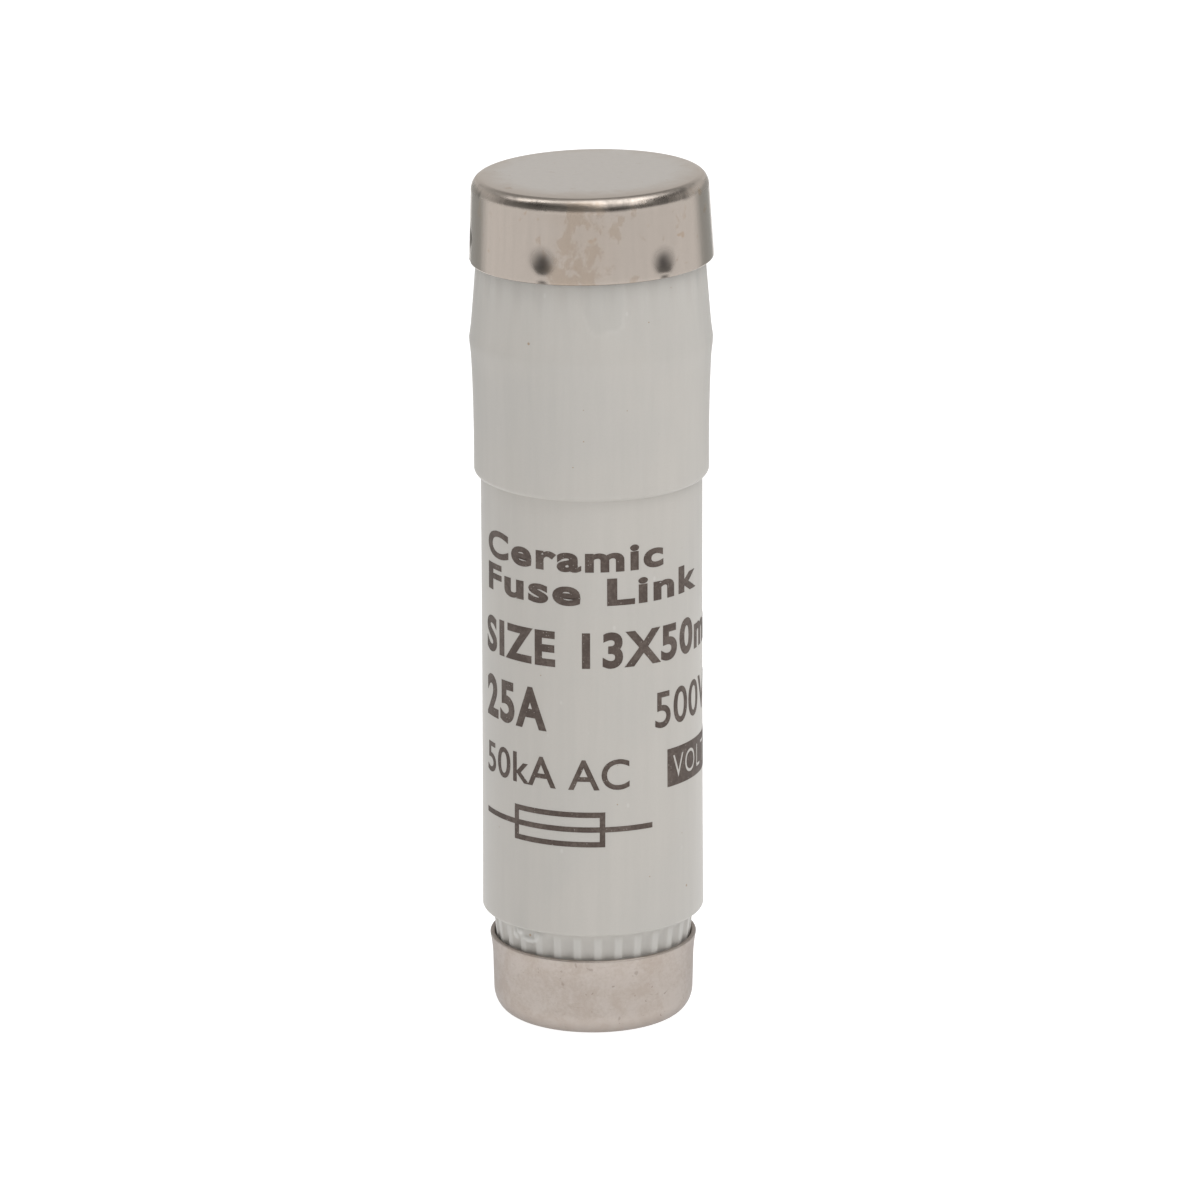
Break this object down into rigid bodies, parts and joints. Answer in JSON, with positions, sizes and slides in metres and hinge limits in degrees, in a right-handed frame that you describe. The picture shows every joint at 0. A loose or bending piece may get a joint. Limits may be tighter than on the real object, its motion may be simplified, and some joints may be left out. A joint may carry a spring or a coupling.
{
  "type": "cartridge fuse",
  "caption": "Ceramic cartridge fuse-link with a wide metal head contact cap, a narrow foot contact cap and perforated fuse strips in quartz sand.",
  "frame": {"origin": "centre of the foot cap's flat contact face, the lowest face of the part", "axes": "+Z along the fuse's axis from the foot cap to the head cap; -Y faces the front of the marking"},
  "size_m": [0.014, 0.014, 0.05],
  "materials": {
    "glazed_ceramic": "satin",
    "head_nickel": "satin",
    "foot_nickel": "matte",
    "plate_steel": "matte",
    "silvered_copper": "satin",
    "tin": "satin",
    "solder": "satin",
    "quartz_grain": "matte",
    "sealing_board": "matte",
    "plug_brass": "satin",
    "marking_ink": "matte"
  },
  "bodies": {
    "root": {"ceramic_body": "glazed_ceramic", "head_cap": "head_nickel", "foot_cap": "foot_nickel", "head_contact_plate": "plate_steel", "foot_contact_plate": "plate_steel", "fuse_element_1": "silvered_copper", "fuse_element_2": "silvered_copper", "fuse_element_3": "silvered_copper", "tin_overlay_1": "tin", "tin_overlay_2": "tin", "tin_overlay_3": "tin", "head_solder_joint": "solder", "foot_solder_joint": "solder", "quartz_sand": "quartz_grain", "head_sealing_disc": "sealing_board", "foot_sealing_disc": "sealing_board", "sand_fill_plug": "plug_brass"}
  },
  "joints": []
}
